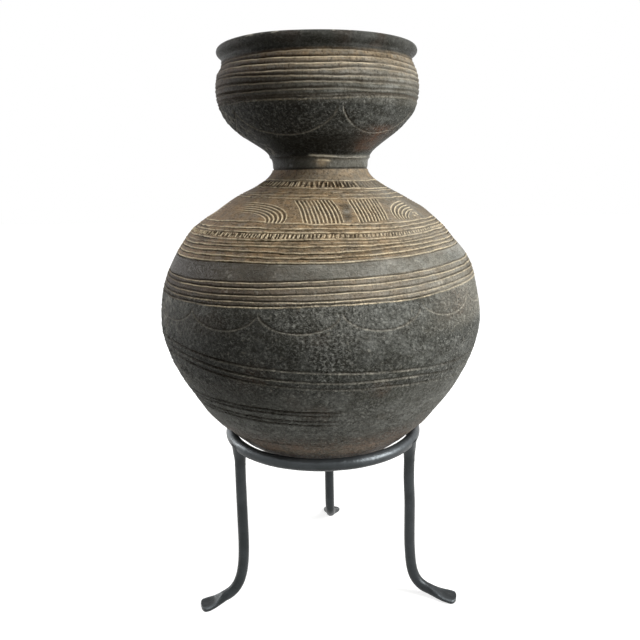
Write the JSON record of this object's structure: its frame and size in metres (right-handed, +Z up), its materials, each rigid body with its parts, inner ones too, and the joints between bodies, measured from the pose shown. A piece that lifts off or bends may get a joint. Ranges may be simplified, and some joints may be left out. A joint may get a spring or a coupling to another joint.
{
  "type": "water jar on a tripod stand",
  "caption": "Round-bottomed incised earthenware water jar with a narrow neck and a wide cup-shaped mouth, lifting out of a forged iron ring stand with splayed legs and flattened feet.",
  "frame": {"origin": "on the floor, under the jar's axis", "axes": "+Z up along the jar's axis, -Y towards the front, with the two front legs either side of it, +X to the right"},
  "size_m": [0.3496, 0.3496, 0.6062],
  "materials": {
    "clay": "smoked dark grey-brown earthenware, burnished, with ochre rubbed into the upper lines",
    "iron": "forged bar, blackened and waxed"
  },
  "bodies": {
    "stand": {"stand_ring": "iron", "ring_butt_weld": "iron", "leg_left": "iron", "weld_left": "iron", "leg_right": "iron", "weld_right": "iron", "leg_rear": "iron", "weld_rear": "iron"},
    "jar": {"jar_base": "clay", "jar_shoulder": "clay", "jar_neck": "clay", "jar_cup": "clay", "jar_rim": "clay"}
  },
  "joints": [
    {"name": "jar_lift", "type": "slide", "parent": "stand", "child": "jar", "axis": [0, 0, 1], "range_m": [0, 0.25]}
  ]
}
